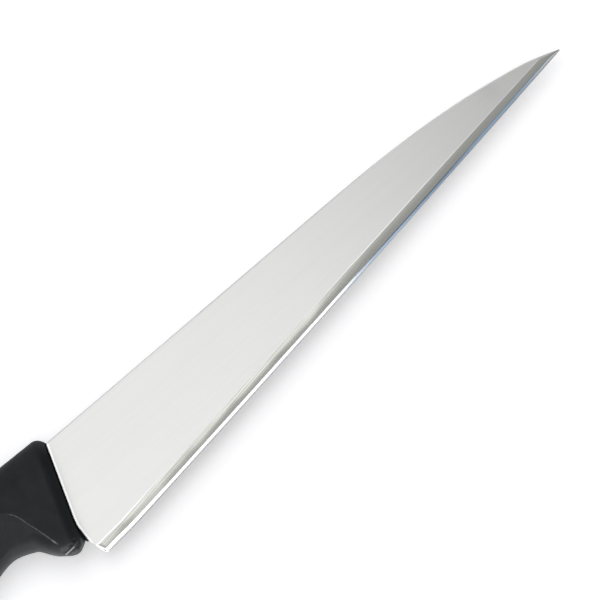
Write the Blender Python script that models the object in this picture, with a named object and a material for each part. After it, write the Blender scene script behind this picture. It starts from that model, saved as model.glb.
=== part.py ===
"""Sashimi knife: a single-bevelled slicing blade held in a moulded handle, lying flat, bevelled face up.

Lengths are in metres and angles in degrees. The drawing's X runs along the straight part of the spine
towards the tip, Y from the edge towards the spine, and Z out of the bevelled face. Its zero is where the
spine leaves the handle, in the middle of the steel. The world's origin is the middle of the knife's
outline, on the surface that the handle lies on.
"""

import math

import bmesh
import bpy
from mathutils import Vector

# Blade, seen from above
BLADE_REACH = 0.2007  # straight line of the spine, from the handle's front to the tip
HEEL_DROP = 0.0388  # spine line down to the heel's corner, before that is rounded
HEEL_ROUND = 0.0011
CHOIL_RAKE = 14.7  # slant of the blade's rear edge
EDGE_BELLY = 0.0005  # how far the edge swells below a straight line
POINT_LENGTH = 0.0860  # the stretch where the spine falls to the tip
POINT_FALL = 0.0095
NIP_LENGTH = 0.0110  # the last stretch, which turns down a little more
NIP_FALL = 0.0009
TIP_WIDTH = 0.0004

# Blade, thickness
STOCK = 0.0020  # sheet that blade and tang are made from
BACK_GRIND = 0.0001  # ground off the flat back, ahead of the handle
FACE_GRIND = 0.0001  # ground off the bevelled face along the spine
SPINE_EASE = 0.0003  # bevel along both edges of the spine
DISTAL_TAPER = 0.62  # thickness near the tip, as a share of that at the heel
POINT_TAPER = 0.50  # thickness at the very tip, as a share of that where the last taper starts
POINT_TAPER_LENGTH = 0.030
BEVEL_HEEL = 0.0040  # width of the whole bevel, at the heel
BEVEL_MIDDLE = 0.00445
BEVEL_TIP = 0.0031
BEVEL_ANGLE = 13.6
WIDEST_BEVEL = 0.80  # the most of the blade's width that the bevel takes, close to the tip
MICRO_BEVEL = 0.0011  # width of the steeper second bevel, along the edge
MICRO_ANGLE = 18.6
WIDEST_MICRO = 0.35  # the most of the whole bevel that the second bevel takes
EDGE_STOCK = 0.00008

# Tang, inside the handle
TANG_END_WALL = 0.0160  # from the tang's rear end to the butt
TANG_START = 0.0045  # from the handle's front to where full stock begins
TANG_TOP = 0.0030  # below the spine line
TANG_HEIGHT = 0.0132
TANG_END_ROUND = 0.0050
PIN_RADIUS = 0.0025
PIN_NAMES = ("tang_pin_front", "tang_pin_middle", "tang_pin_rear")
PIN_MARGIN = 0.0140  # from the core's front, and from the tang's rear end, to the nearest pin

# Handle front
FRONT_RAKE = 20.0  # slant of the front, from the spine down to the knee
LOWER_RAKE = 2.5  # slant below the knee
KNEE_DROP = 0.0255
KNEE_SOFTNESS = 0.0025
RAKE_KEPT = 0.0140  # the slant fades out along the handle, from here
RAKE_GONE = 0.0500
FRONT_ROUND_LENGTH = 0.0047
FRONT_ROUND_DEPTH = 0.0030
LIP_DROP = 0.0318  # the collar's pointed lip, past the guard
LIP_CLEARANCE = 0.0007  # how far the cut for the collar runs below the lip
COLLAR_THICKNESS = 0.0009
SHOULDER_DROP = 0.0270  # below this, the blade's rear edge stands in front of the collar

# Handle body. The lines are (distance behind the front, height from the spine line).
HANDLE_LENGTH = 0.1290
HANDLE_THICKNESS = 0.0180
GROOVE_BACK = 0.0260  # the finger groove's deepest place, from the front
TOP_LINE = (
    (0.0, 0.0031),
    (0.0166, 0.0036),
    (0.0600, 0.0054),
    (HANDLE_LENGTH - 0.0330, 0.0038),
    (HANDLE_LENGTH, -0.0029),
)
BOTTOM_LINE = (
    (0.0, -0.0306),
    (0.0046, -0.0327),
    (0.0099, -0.0297),
    (0.0154, -0.0239),
    (GROOVE_BACK, -0.0214),
    (0.0600, -0.0272),
    (HANDLE_LENGTH - 0.0360, -0.0252),
    (HANDLE_LENGTH - 0.0130, -0.0305),
    (HANDLE_LENGTH, -0.0287),
)
SIDE_ROUND = 0.0080  # height of the rounding above and below the flat sides
SEAM_WIDTH = 0.0010  # flat strip along the mould's parting line
BUTT_ROUND = 0.0050

# Finger scoop, a shallow dish in each side. Its rim is (angle from the blade's direction, distance from
# the dish's middle), the same above and below.
SCOOP_BACK = 0.0460
SCOOP_DROP = 0.0300
SCOOP_DEPTH = 0.0022
SCOOP_RIM = (
    (0.0, 0.0292),
    (15.0, 0.0287),
    (28.0, 0.0294),
    (41.0, 0.0311),
    (55.0, 0.0300),
    (90.0, 0.0245),
    (180.0, 0.0280),
)
SCOOP_CORNERS = 64
SCOOP_PAST = 1.16  # how far the cutter reaches past the rim, as a share of the rim's distance

# Core, inside the skin
CORE_FRONT = 0.0240
CORE_END_WALL = 0.0080  # of skin, behind the core
CORE_EDGE_WALL = 0.0032  # of skin, above and below the core
CORE_SIDE_WALL = 0.0040  # of skin, on each side of the core
CORE_ROUND = 0.0040

GAP = 0.0003  # between neighbours that touch in the real knife
PAST = 0.0050  # how far a cutter reaches past what it cuts

CORNER_STEPS = 5
SIDE_STEPS = 4
FULLEST_ROUND = 0.48  # the most of a section's height that one rounding takes
SHARP_ANGLE = 25.0


# Curves that the shape follows


def smooth_step(share):
    share = min(max(share, 0.0), 1.0)
    return share * share * (3.0 - 2.0 * share)


def along(points, at):
    """Height at a position on a smooth line through points, which turns only at the points."""
    at = min(max(at, points[0][0]), points[-1][0])
    slopes = [(b[1] - a[1]) / (b[0] - a[0]) for a, b in zip(points, points[1:])]
    turns = [0.0 if a * b <= 0 else 2 * a * b / (a + b) for a, b in zip(slopes, slopes[1:])]
    tangents = [slopes[0], *turns, slopes[-1]]
    i = max(k for k in range(len(slopes)) if at >= points[k][0])
    (x0, y0), (x1, y1) = points[i], points[i + 1]
    span = x1 - x0
    u = (at - x0) / span
    rise = smooth_step(u)
    start = u * (1 - u) ** 2 * span * tangents[i]
    end = -(u**2) * (1 - u) * span * tangents[i + 1]
    return y0 + (y1 - y0) * rise + start + end


def front_x(y):
    """The handle's front line: slanted, then nearly upright below a soft knee."""
    rake = math.tan(math.radians(FRONT_RAKE))
    lower = math.tan(math.radians(LOWER_RAKE))
    below = -y - KNEE_DROP
    if below <= -KNEE_SOFTNESS:
        ramp = 0.0
    elif below >= KNEE_SOFTNESS:
        ramp = below
    else:
        ramp = (below + KNEE_SOFTNESS) ** 2 / (4 * KNEE_SOFTNESS)
    return rake * y + (rake - lower) * ramp


def behind_front(back, y):
    """X of a point a distance behind the front. The front's slant fades out along the handle."""
    kept = 1.0 - smooth_step((back - RAKE_KEPT) / (RAKE_GONE - RAKE_KEPT))
    return front_x(y) * kept - back


def choil_x(y):
    """The blade's rear edge, a straight line through the collar's lip."""
    return front_x(-LIP_DROP) - (LIP_DROP + y) * math.tan(math.radians(CHOIL_RAKE))


def spine_y(x):
    bend = max(0.0, (x - BLADE_REACH + POINT_LENGTH) / POINT_LENGTH)
    nip = max(0.0, (x - BLADE_REACH + NIP_LENGTH) / NIP_LENGTH)
    return -POINT_FALL * bend**2.5 - NIP_FALL * nip**1.2


def edge_y(x):
    heel = choil_x(-HEEL_DROP)
    tip_y = spine_y(BLADE_REACH) - TIP_WIDTH
    u = (x - heel) / (BLADE_REACH - heel)
    return -HEEL_DROP + (tip_y + HEEL_DROP) * u - EDGE_BELLY * 4 * u * (1 - u)


def bevel_width(share):
    """Width of the whole bevel at a share of the way from heel to tip, a curve through its three widths."""
    swell = BEVEL_MIDDLE - (BEVEL_HEEL + BEVEL_TIP) / 2
    return BEVEL_HEEL + (BEVEL_TIP - BEVEL_HEEL) * share + swell * 4 * share * (1 - share)


def corner_loss(distance, radius):
    """How far a rounded corner draws in, at a distance from the corner's point."""
    if distance >= radius:
        return 0.0
    return radius - math.sqrt(radius**2 - (radius - distance) ** 2)


# Cross-sections. Each is a ring whose first half is on the upper side and whose second half is on the
# lower side, in the reverse order.


def blade_ring(share):
    """Section of the blade from spine to edge, at a share of the way from the rear edge to the tip."""
    rear, heel = choil_x(0.0), choil_x(-HEEL_DROP)
    top_x = rear + (BLADE_REACH - rear) * share
    low_x = heel + (BLADE_REACH - heel) * share
    top = Vector((top_x, spine_y(top_x), 0.0))
    edge = Vector((low_x, edge_y(low_x), 0.0))
    across = (edge - top).normalized()
    width = (edge - top).length - corner_loss(low_x - heel, HEEL_ROUND)

    near_tip = smooth_step(1.0 - (BLADE_REACH - top_x) / POINT_TAPER_LENGTH)
    thinning = (1.0 - (1.0 - DISTAL_TAPER) * share) * (1.0 - (1.0 - POINT_TAPER) * near_tip)
    bevel = min(bevel_width(share), WIDEST_BEVEL * width)
    micro = min(MICRO_BEVEL, WIDEST_MICRO * bevel)
    back = BACK_GRIND - STOCK / 2
    spine_stock = (STOCK - BACK_GRIND - FACE_GRIND) * thinning
    micro_stock = EDGE_STOCK + micro * math.tan(math.radians(MICRO_ANGLE))
    bevel_stock = micro_stock + (bevel - micro) * math.tan(math.radians(BEVEL_ANGLE))
    ease = min(SPINE_EASE, width / 8, spine_stock / 4)
    points = (
        (0.0, spine_stock - ease, ease),
        (ease, spine_stock, 0.0),
        (width - bevel, min(bevel_stock, spine_stock), 0.0),
        (width - micro, min(micro_stock, spine_stock), 0.0),
        (width, EDGE_STOCK, 0.0),
    )
    upper = [top + across * w + Vector((0, 0, back + high)) for w, high, _ in points]
    lower = [top + across * w + Vector((0, 0, back + low)) for w, _, low in reversed(points)]
    return upper + lower


def rounded_ring(back, top, bottom, half, corner):
    """Section of the handle: flat sides, and a rounded top and bottom that meet at a narrow seam."""
    corner = min(corner, FULLEST_ROUND * (top - bottom))
    seam = SEAM_WIDTH / 2
    upper = []
    for i in range(CORNER_STEPS + 1):
        angle = math.pi / 2 * i / CORNER_STEPS
        upper.append((top - corner * (1 - math.cos(angle)), seam + (half - seam) * math.sin(angle)))
    straight = top - bottom - 2 * corner
    for i in range(1, SIDE_STEPS):
        upper.append((top - corner - straight * i / SIDE_STEPS, half))
    for i in range(CORNER_STEPS + 1):
        angle = math.pi / 2 * i / CORNER_STEPS
        upper.append((bottom + corner * (1 - math.sin(angle)), seam + (half - seam) * math.cos(angle)))
    ring = [(y, z) for y, z in upper] + [(y, -z) for y, z in reversed(upper)]
    return [Vector((behind_front(back, y), y, z)) for y, z in ring]


def front_loss(back):
    return FRONT_ROUND_DEPTH * max(0.0, 1 - back / FRONT_ROUND_LENGTH) ** 2


def skin_ring(back):
    butt = corner_loss(HANDLE_LENGTH - back, BUTT_ROUND)
    return rounded_ring(
        back,
        along(TOP_LINE, back) - front_loss(back) - butt,
        along(BOTTOM_LINE, back) + butt,
        HANDLE_THICKNESS / 2 - front_loss(back) - butt,
        SIDE_ROUND,
    )


def collar_ring(back):
    """The collar carries on the skin's rounded front, but its bottom runs out to the pointed lip."""
    share = back / COLLAR_THICKNESS
    inner = along(BOTTOM_LINE, COLLAR_THICKNESS + GAP) - GAP
    return rounded_ring(
        back,
        along(TOP_LINE, back) - front_loss(back),
        -LIP_DROP + (inner + LIP_DROP) * share,
        HANDLE_THICKNESS / 2 - front_loss(back),
        SIDE_ROUND,
    )


def core_ring(back, grown=0.0):
    wall = CORE_EDGE_WALL - grown
    return rounded_ring(
        back,
        along(TOP_LINE, back) - wall,
        along(BOTTOM_LINE, back) + wall,
        HANDLE_THICKNESS / 2 - CORE_SIDE_WALL + grown,
        CORE_ROUND,
    )


# Ways to make and combine solids


def spread(start, stop, count):
    return [start + (stop - start) * i / count for i in range(count + 1)]


def closed_mesh(name, shape):
    bmesh.ops.remove_doubles(shape, verts=shape.verts, dist=1e-7)
    bmesh.ops.triangulate(shape, faces=shape.faces)
    bmesh.ops.recalc_face_normals(shape, faces=shape.faces)
    mesh = bpy.data.meshes.new(name)
    shape.to_mesh(mesh)
    shape.free()
    mesh.shade_smooth()
    mesh.set_sharp_from_angle(angle=math.radians(SHARP_ANGLE))
    return mesh


def loft(name, rings):
    """Solid through a row of rings, closed at both ends."""
    shape = bmesh.new()
    rows = [[shape.verts.new(point) for point in ring] for ring in rings]
    count = len(rows[0])
    for row, following in zip(rows, rows[1:]):
        for i in range(count):
            j = (i + 1) % count
            shape.faces.new((row[i], row[j], following[j], following[i]))
    for row in (rows[0], rows[-1]):
        for i in range(count // 2 - 1):
            shape.faces.new((row[i], row[i + 1], row[-i - 2], row[-i - 1]))
    return closed_mesh(name, shape)


def plate(name, outline, thickness):
    """Flat outline of a thickness, centred on the middle of the steel."""
    drawn = bpy.data.curves.new(name, "CURVE")
    drawn.dimensions = "2D"
    drawn.fill_mode = "BOTH"
    drawn.extrude = thickness / 2
    line = drawn.splines.new("POLY")
    line.points.add(len(outline) - 1)
    for point, (x, y) in zip(line.points, outline):
        point.co = (x, y, 0.0, 1.0)
    line.use_cyclic_u = True
    holder = bpy.data.objects.new(name, drawn)
    bpy.context.scene.collection.objects.link(holder)
    graph = bpy.context.evaluated_depsgraph_get()
    flat = bpy.data.meshes.new_from_object(holder.evaluated_get(graph))
    bpy.data.objects.remove(holder)
    bpy.data.curves.remove(drawn)
    shape = bmesh.new()
    shape.from_mesh(flat)
    bpy.data.meshes.remove(flat)
    return closed_mesh(name, shape)


def cylinder(name, radius, height):
    shape = bmesh.new()
    bmesh.ops.create_cone(
        shape, cap_ends=True, segments=24, radius1=radius, radius2=radius, depth=height
    )
    return closed_mesh(name, shape)


def add(name, mesh, collection, datum):
    obj = bpy.data.objects.new(name, mesh)
    collection.objects.link(obj)
    obj.parent = datum
    return obj


def add_cutter(name, mesh, collection, datum):
    obj = add(name, mesh, collection, datum)
    obj.hide_render = True
    obj.display_type = "WIRE"
    return obj


def combine(obj, other, operation):
    step = obj.modifiers.new(other.name, "BOOLEAN")
    step.operation = operation
    step.object = other


def finish(obj, name, colour, roughness, metallic):
    material = bpy.data.materials.new(name)
    material.use_nodes = True
    shader = material.node_tree.nodes["Principled BSDF"]
    shader.inputs["Base Color"].default_value = (*colour, 1.0)
    shader.inputs["Roughness"].default_value = roughness
    shader.inputs["Metallic"].default_value = metallic
    material.diffuse_color = (*colour, 1.0)
    obj.data.materials.append(material)


# Outlines


def tang_outline(grown=0.0):
    """The tang, with a slanted front inside the blade's root and a rounded rear end."""
    top = -TANG_TOP + grown
    low = -TANG_TOP - TANG_HEIGHT - grown
    end = TANG_END_WALL - HANDLE_LENGTH - grown
    radius = TANG_END_ROUND + grown
    points = [(front_x(top) - TANG_START, top)]
    for centre_y, first in ((top - radius, 90), (low + radius, 180)):
        for i in range(7):
            angle = math.radians(first + 15 * i)
            points.append((end + radius + radius * math.cos(angle), centre_y + radius * math.sin(angle)))
    points.append((front_x(low) - TANG_START, low))
    return points


def root_slot_outline():
    """The way into the handle for the blade's full-width root."""
    low = -SHOULDER_DROP - GAP
    sideways = GAP / math.cos(math.radians(CHOIL_RAKE))
    return (
        (PAST, GAP),
        (choil_x(0.0) - sideways, GAP),
        (choil_x(low) - sideways, low),
        (PAST, low),
    )


def shoulder_outline():
    """What is taken off the blade's rear edge, so that it stands just in front of the collar."""
    low = -LIP_DROP - LIP_CLEARANCE
    heights = spread(-SHOULDER_DROP, low, 6)
    front = [(front_x(y) + GAP, y) for y in heights]
    return (*front, (choil_x(0.0) - PAST, low), (choil_x(0.0) - PAST, -SHOULDER_DROP))


# Pieces


def blade_rings():
    """Sections of the blade, close together round the heel, at the point and at the nip."""
    edge_length = BLADE_REACH - choil_x(-HEEL_DROP)
    spine_length = BLADE_REACH - choil_x(0.0)
    bend = 1.0 - POINT_LENGTH / spine_length
    nip = 1.0 - NIP_LENGTH / spine_length
    shares = [HEEL_ROUND / edge_length * (i / 5) ** 2 for i in range(5)]
    shares += spread(HEEL_ROUND / edge_length, bend, 9)
    shares += spread(bend, nip, 14)[1:]
    shares += spread(nip, 1.0, 6)[1:]
    return [blade_ring(share) for share in shares]


def make_blade(parts, cutters, datum):
    blade = add("blade", loft("blade", blade_rings()), parts, datum)
    shoulder = plate("shoulder_cut", shoulder_outline(), STOCK + 2 * PAST)
    combine(blade, add_cutter("shoulder_cut", shoulder, cutters, datum), "DIFFERENCE")
    tang = add_cutter("tang", plate("tang", tang_outline(), STOCK), cutters, datum)
    combine(blade, tang, "UNION")
    return blade


def skin_stations():
    """Distances behind the front of the skin's sections, close together where it turns fast."""
    butt = HANDLE_LENGTH - BUTT_ROUND
    stations = spread(COLLAR_THICKNESS + GAP, FRONT_ROUND_LENGTH, 5)
    stations += spread(FRONT_ROUND_LENGTH, GROOVE_BACK, 13)[1:]
    stations += spread(GROOVE_BACK, butt, 22)[1:]
    stations += [butt + BUTT_ROUND * math.sin(math.pi / 2 * i / 5) for i in range(1, 6)]
    return stations


def make_skin(parts, cutters, datum):
    skin = add("grip_skin", loft("grip_skin", [skin_ring(s) for s in skin_stations()]), parts, datum)

    core_end = HANDLE_LENGTH - CORE_END_WALL + GAP
    pocket = loft("core_pocket", [core_ring(s, GAP) for s in spread(CORE_FRONT - GAP, core_end, 16)])
    combine(skin, add_cutter("core_pocket", pocket, cutters, datum), "DIFFERENCE")
    root = plate("root_slot", root_slot_outline(), STOCK + 2 * GAP)
    combine(skin, add_cutter("root_slot", root, cutters, datum), "DIFFERENCE")
    tang = plate("tang_slot", tang_outline(GAP), STOCK + 2 * GAP)
    combine(skin, add_cutter("tang_slot", tang, cutters, datum), "DIFFERENCE")
    for side, name in ((1, "scoop_right"), (-1, "scoop_left")):
        combine(skin, make_scoop(name, side, cutters, datum), "DIFFERENCE")
    return skin


def scoop_ring(share, height):
    """Ring inside or outside the scoop's rim, at a share of the way from the dish's middle to the rim."""
    ring = []
    for i in range(SCOOP_CORNERS):
        angle = 360.0 * (i + 0.5) / SCOOP_CORNERS
        reach = share * along(SCOOP_RIM, min(angle, 360.0 - angle))
        ring.append(Vector((reach * math.cos(math.radians(angle)), reach * math.sin(math.radians(angle)), height)))
    return ring


def make_scoop(name, side, cutters, datum):
    """Dish that is deepest in its middle and meets the handle's flat side along its rim."""
    shares = [SCOOP_PAST * i / 8 for i in range(1, 9)]
    shares.insert(0, shares[0] / 3)
    half = HANDLE_THICKNESS / 2
    rings = [scoop_ring(share, side * (half - SCOOP_DEPTH * (1 - share**2))) for share in shares]
    rings.append(scoop_ring(SCOOP_PAST, side * (half + PAST)))
    scoop = add_cutter(name, loft(name, rings), cutters, datum)
    scoop.location = (-SCOOP_BACK, -SCOOP_DROP, 0.0)
    return scoop


def make_collar(parts, cutters, datum):
    rings = [collar_ring(back) for back in spread(0.0, COLLAR_THICKNESS, 2)]
    collar = add("front_collar", loft("front_collar", rings), parts, datum)
    low = -SHOULDER_DROP - GAP
    outline = ((PAST, PAST), (choil_x(0.0), PAST), (choil_x(0.0), low), (PAST, low))
    slot = plate("collar_slot", outline, STOCK + 2 * GAP)
    combine(collar, add_cutter("collar_slot", slot, cutters, datum), "DIFFERENCE")
    return collar


def make_core_half(name, side, tang_slot, parts, cutters, datum):
    core_end = HANDLE_LENGTH - CORE_END_WALL
    half = add(name, loft(name, [core_ring(s) for s in spread(CORE_FRONT, core_end, 16)]), parts, datum)
    across = HANDLE_THICKNESS
    outline = [(x, y) for x in (-HANDLE_LENGTH - PAST, PAST) for y in (-HEEL_DROP, HEEL_DROP)]
    box = plate(f"{name}_parting", [outline[i] for i in (0, 2, 3, 1)], across)
    parting = add_cutter(f"{name}_parting", box, cutters, datum)
    parting.location.z = -side * (across / 2 - GAP / 2)
    combine(half, parting, "DIFFERENCE")
    combine(half, tang_slot, "DIFFERENCE")
    return half


def make_pins(pierced, parts, cutters, datum):
    length = HANDLE_THICKNESS - 2 * CORE_SIDE_WALL
    places = spread(CORE_FRONT + PIN_MARGIN, HANDLE_LENGTH - TANG_END_WALL - PIN_MARGIN, len(PIN_NAMES) - 1)
    for name, back in zip(PIN_NAMES, places):
        centre = (-back, -TANG_TOP - TANG_HEIGHT / 2, 0.0)
        pin = add(name, cylinder(name, PIN_RADIUS, length), parts, datum)
        pin.location = centre
        finish(pin, name, (0.60, 0.60, 0.60), 0.35, 1.0)
        hole = cylinder(f"{name}_hole", PIN_RADIUS + GAP, length + PAST)
        cutter = add_cutter(f"{name}_hole", hole, cutters, datum)
        cutter.location = centre
        for piece in pierced:
            combine(piece, cutter, "DIFFERENCE")


def clear_scene():
    for obj in list(bpy.data.objects):
        bpy.data.objects.remove(obj)


def new_collection(name):
    collection = bpy.data.collections.new(name)
    bpy.context.scene.collection.children.link(collection)
    return collection


def add_datum(parts):
    """Empty that carries the drawing, so that the outline's middle is the world's origin."""
    outer = [point for ring in blade_rings() for point in ring]
    outer += [point for back in skin_stations() for point in skin_ring(back)]
    xs = [point.x for point in outer]
    ys = [point.y for point in outer]
    datum = bpy.data.objects.new("datum", None)
    parts.objects.link(datum)
    datum.location = (-(min(xs) + max(xs)) / 2, -(min(ys) + max(ys)) / 2, HANDLE_THICKNESS / 2)
    return datum


def main():
    clear_scene()
    parts = new_collection("sashimi_knife")
    cutters = new_collection("cutters")
    datum = add_datum(parts)

    blade = make_blade(parts, cutters, datum)
    finish(blade, "ground_steel", (0.72, 0.72, 0.71), 0.32, 1.0)
    skin = make_skin(parts, cutters, datum)
    finish(skin, "grained_black", (0.022, 0.022, 0.023), 0.60, 0.0)
    collar = make_collar(parts, cutters, datum)
    finish(collar, "collar_black", (0.006, 0.006, 0.006), 0.45, 0.0)

    tang_slot = add_cutter(
        "core_tang_slot", plate("core_tang_slot", tang_outline(GAP), STOCK + 2 * GAP), cutters, datum
    )
    halves = []
    for name, side in (("core_right", 1), ("core_left", -1)):
        half = make_core_half(name, side, tang_slot, parts, cutters, datum)
        finish(half, name, (0.10, 0.10, 0.11), 0.50, 0.0)
        halves.append(half)
    make_pins([blade, *halves], parts, cutters, datum)


main()
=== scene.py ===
"""Sashimi knife: a ground steel blade in a grained black handle, laid flat under studio light.

Lengths are in metres and angles in degrees. Shapes are drawn in the knife's own drawing: X runs along the
straight part of the spine towards the tip, Y from the edge towards the spine, and Z out of the bevelled
face. The drawing's zero is where the spine leaves the handle, in the middle of the steel.
"""

import logging
import math
from dataclasses import dataclass
from enum import Enum, IntEnum
from typing import Callable, Iterable, Sequence

import bmesh
import bpy
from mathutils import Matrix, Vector

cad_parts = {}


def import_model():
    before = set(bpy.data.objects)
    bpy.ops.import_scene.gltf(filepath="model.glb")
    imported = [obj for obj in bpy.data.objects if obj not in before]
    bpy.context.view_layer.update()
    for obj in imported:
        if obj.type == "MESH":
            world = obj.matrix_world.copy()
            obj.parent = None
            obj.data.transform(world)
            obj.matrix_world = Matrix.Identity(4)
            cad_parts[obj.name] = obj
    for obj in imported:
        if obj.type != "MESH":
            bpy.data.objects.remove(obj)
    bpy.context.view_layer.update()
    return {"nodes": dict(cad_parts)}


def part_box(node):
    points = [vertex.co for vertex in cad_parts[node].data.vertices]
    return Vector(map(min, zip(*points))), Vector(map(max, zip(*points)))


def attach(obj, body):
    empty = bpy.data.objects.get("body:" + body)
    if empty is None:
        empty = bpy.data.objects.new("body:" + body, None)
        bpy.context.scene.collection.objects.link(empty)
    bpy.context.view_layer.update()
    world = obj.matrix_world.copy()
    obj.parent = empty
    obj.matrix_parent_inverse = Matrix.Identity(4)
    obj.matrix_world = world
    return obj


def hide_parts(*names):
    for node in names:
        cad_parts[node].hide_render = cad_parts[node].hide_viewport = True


BODY = "root"
MERGE_DISTANCE = 2e-7
CUT_PAST = 0.005
log = logging.getLogger("sashimi_knife")

Line = Sequence[tuple[float, float]]
Object = bpy.types.Object
Socket = bpy.types.NodeSocket


class Slot(Enum):
    """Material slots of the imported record."""

    STEEL = "ground_steel"
    GRAINED = "grained_black"
    COLLAR = "collar_black"


class Side(IntEnum):
    """The two flat sides of the handle."""

    RIGHT = 1
    LEFT = -1


class Ground(IntEnum):
    """The ground surfaces of the blade, in the order of its material slots."""

    FACE = 0
    LINE = 1
    BEVEL = 2
    EDGE = 3
    KEEN = 4
    BACK = 5
    SPINE = 6
    TANG = 7


class Role(Enum):
    """What a lamp is for."""

    LIGHT = "lights surfaces, and doesn't show in them"
    SHEEN = "shows in steel and gloss, and lights nothing"


# Curves


def smooth_step(share: float) -> float:
    """Return a share eased at both ends, held between 0 and 1."""
    share = min(max(share, 0.0), 1.0)
    return share * share * (3.0 - 2.0 * share)


def spread(start: float, stop: float, count: int) -> list[float]:
    """Return count + 1 evenly spaced values from start to stop."""
    return [start + (stop - start) * i / count for i in range(count + 1)]


def chain(start: float, *legs: tuple[float, int]) -> list[float]:
    """Return values from a start on, each leg evenly spaced up to its stop in its number of steps."""
    values = [start]
    for stop, count in legs:
        values += spread(values[-1], stop, count)[1:]
    return values


def quarter(count: int) -> list[float]:
    """Return the angles, in radians, that part a quarter turn into a number of steps."""
    return spread(0.0, math.pi / 2, count)


def slope(angle: float) -> float:
    """Return the rise over one unit of run."""
    return math.tan(math.radians(angle))


@dataclass(frozen=True)
class Ramp:
    """A value that eases from one height to another between two places, and is level outside them."""

    start: float
    stop: float
    first: float = 0.0
    last: float = 1.0

    def at(self, place: float) -> float:
        """Return the value at a place."""
        share = smooth_step((place - self.start) / (self.stop - self.start))
        return self.first + (self.last - self.first) * share


def corner_loss(distance: float, radius: float) -> float:
    """Return how far a rounded corner draws in.

    Args:
        distance: Distance from the corner's point.
        radius: Radius of the rounding.

    Returns:
        The loss, which is zero from one radius on.
    """
    if distance >= radius:
        return 0.0
    return radius - math.sqrt(radius**2 - (radius - distance) ** 2)


def along(points: Line, at: float) -> float:
    """Read a smooth line that turns only at its points.

    Args:
        points: Positions and heights that the line passes through.
        at: Position to read it at.

    Returns:
        The height there.
    """
    at = min(max(at, points[0][0]), points[-1][0])
    slopes = [(b[1] - a[1]) / (b[0] - a[0]) for a, b in zip(points, points[1:])]
    turns = [0.0 if a * b <= 0 else 2 * a * b / (a + b) for a, b in zip(slopes, slopes[1:])]
    tangents = [slopes[0], *turns, slopes[-1]]
    i = max(k for k in range(len(slopes)) if at >= points[k][0])
    (x0, y0), (x1, y1) = points[i], points[i + 1]
    span = x1 - x0
    u = (at - x0) / span
    bend = u * (1 - u) ** 2 * tangents[i] - u**2 * (1 - u) * tangents[i + 1]
    return y0 + (y1 - y0) * smooth_step(u) + bend * span


# Modelling


def start_clean() -> None:
    """Leave nothing selected, in object mode."""
    if bpy.context.mode != "OBJECT":
        bpy.ops.object.mode_set(mode="OBJECT")
    bpy.ops.object.select_all(action="DESELECT")


def pick(obj: Object) -> None:
    """Select one object alone and make it the active one."""
    start_clean()
    obj.select_set(True)
    bpy.context.view_layer.objects.active = obj


def extrude_through(
    name: str, sections: Sequence[Sequence[Vector]], surfaces: Sequence[int] | None = None
) -> Object:
    """Extrude a strip of faces from section to section into one closed solid.

    Args:
        name: Name of the new object.
        sections: Rings with the same even number of corners. The second half of a ring runs back beside
            the first, so that a strip of faces closes it.
        surfaces: The material index of the wall that starts at each corner.

    Returns:
        The new object, at the origin.
    """
    count = len(sections[0])
    middle = sum(sections[0], Vector()) / count
    size = max((point - middle).length for point in sections[0])
    start_clean()
    bpy.ops.mesh.primitive_grid_add(
        x_subdivisions=1, y_subdivisions=count // 2 - 1, size=size, location=middle
    )
    obj = bpy.context.object
    obj.name = obj.data.name = name
    bpy.ops.object.transform_apply(location=True, rotation=True, scale=True)
    bpy.ops.object.mode_set(mode="EDIT")
    shape = bmesh.from_edit_mesh(obj.data)
    corner = shape.verts.layers.int.new("corner")
    for number, vert in enumerate(shape.verts):
        row, right = divmod(number, 2)
        vert[corner] = row if right else count - 1 - row
        vert.co = sections[0][vert[corner]]
    bmesh.update_edit_mesh(obj.data)
    bpy.ops.mesh.select_all(action="SELECT")
    for section in sections[1:]:
        bpy.ops.mesh.extrude_region_move()
        shape = bmesh.from_edit_mesh(obj.data)
        corner = shape.verts.layers.int["corner"]
        for vert in shape.verts:
            if vert.select:
                vert.co = section[vert[corner]]
        bmesh.update_edit_mesh(obj.data)
    if surfaces is not None:
        for face in shape.faces:
            numbers = sorted({vert[corner] for vert in face.verts})
            if len(numbers) == 2:
                face.material_index = surfaces[numbers[0] if numbers != [0, count - 1] else count - 1]
        bmesh.update_edit_mesh(obj.data)
    bpy.ops.mesh.select_all(action="SELECT")
    bpy.ops.mesh.normals_make_consistent(inside=False)
    bpy.ops.object.mode_set(mode="OBJECT")
    obj.data.attributes.remove(obj.data.attributes["corner"])
    return obj


def dress(obj: Object, *materials: bpy.types.Material) -> None:
    """Give an object its materials, in the order of its slots."""
    for material in materials:
        obj.data.materials.append(material)


def combine(obj: Object, tool: Object, *materials: bpy.types.Material, operation: str = "DIFFERENCE") -> None:
    """Cut a tool out of an object, or join it, and remove the tool.

    Args:
        obj: The object that stays.
        tool: The other solid.
        *materials: The tool's materials, which come with its faces.
        operation: Kind of Boolean.
    """
    dress(tool, *materials)
    pick(obj)
    step = obj.modifiers.new(tool.name, "BOOLEAN")
    step.operation = operation
    step.object = tool
    step.material_mode = "TRANSFER"
    bpy.ops.object.modifier_apply(modifier=step.name)
    bpy.data.objects.remove(tool)


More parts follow.
